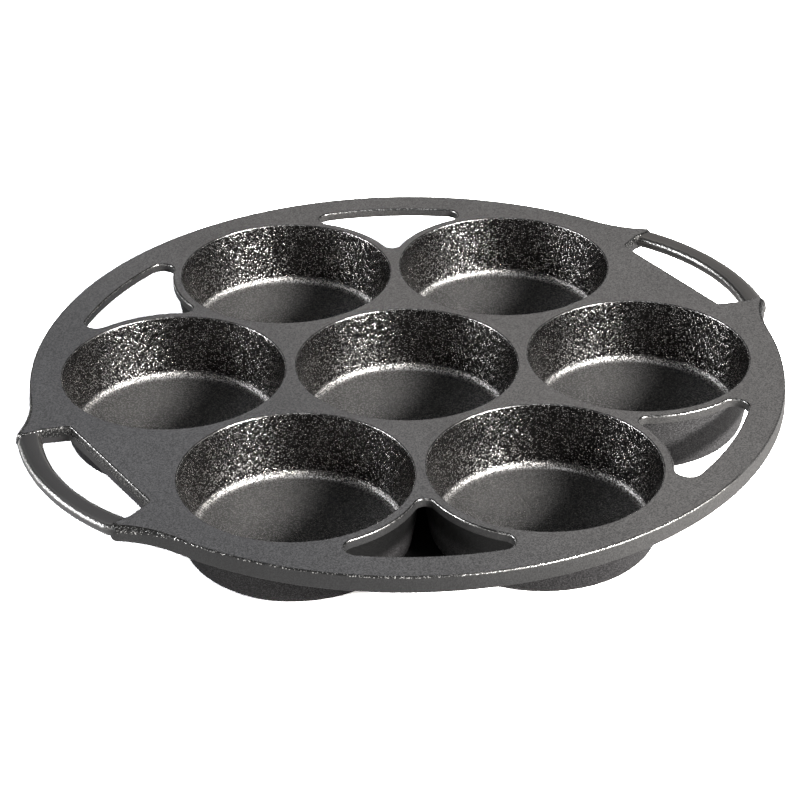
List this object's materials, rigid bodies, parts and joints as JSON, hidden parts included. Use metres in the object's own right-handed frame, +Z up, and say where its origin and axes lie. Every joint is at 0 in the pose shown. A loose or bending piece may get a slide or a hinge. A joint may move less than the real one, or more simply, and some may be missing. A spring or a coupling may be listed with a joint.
{
  "type": "cake pan",
  "caption": "Cast-iron cake pan: shallow round cups hung from one pierced round plate, with a loop handle at each side, for baking small round cakes.",
  "frame": {"origin": "on the surface that the pan stands on, under the middle of the pan", "axes": "+X towards the right handle, +Y away from the viewer's side, +Z up out of the cups"},
  "size_m": [0.2982, 0.2782, 0.0272],
  "materials": {
    "deck_iron": "seasoned, satin, ground smooth with a fine grain",
    "cup_iron": "seasoned, pebbled as cast on the walls, smoother on the floors",
    "handle_iron": "seasoned, satin"
  },
  "bodies": {
    "root": {"deck_plate": "deck_iron", "cup_centre": "cup_iron", "cup_outer_1": "cup_iron", "cup_outer_2": "cup_iron", "cup_outer_3": "cup_iron", "cup_outer_4": "cup_iron", "cup_outer_5": "cup_iron", "cup_outer_6": "cup_iron", "handle_left": "handle_iron", "handle_right": "handle_iron"}
  },
  "joints": []
}
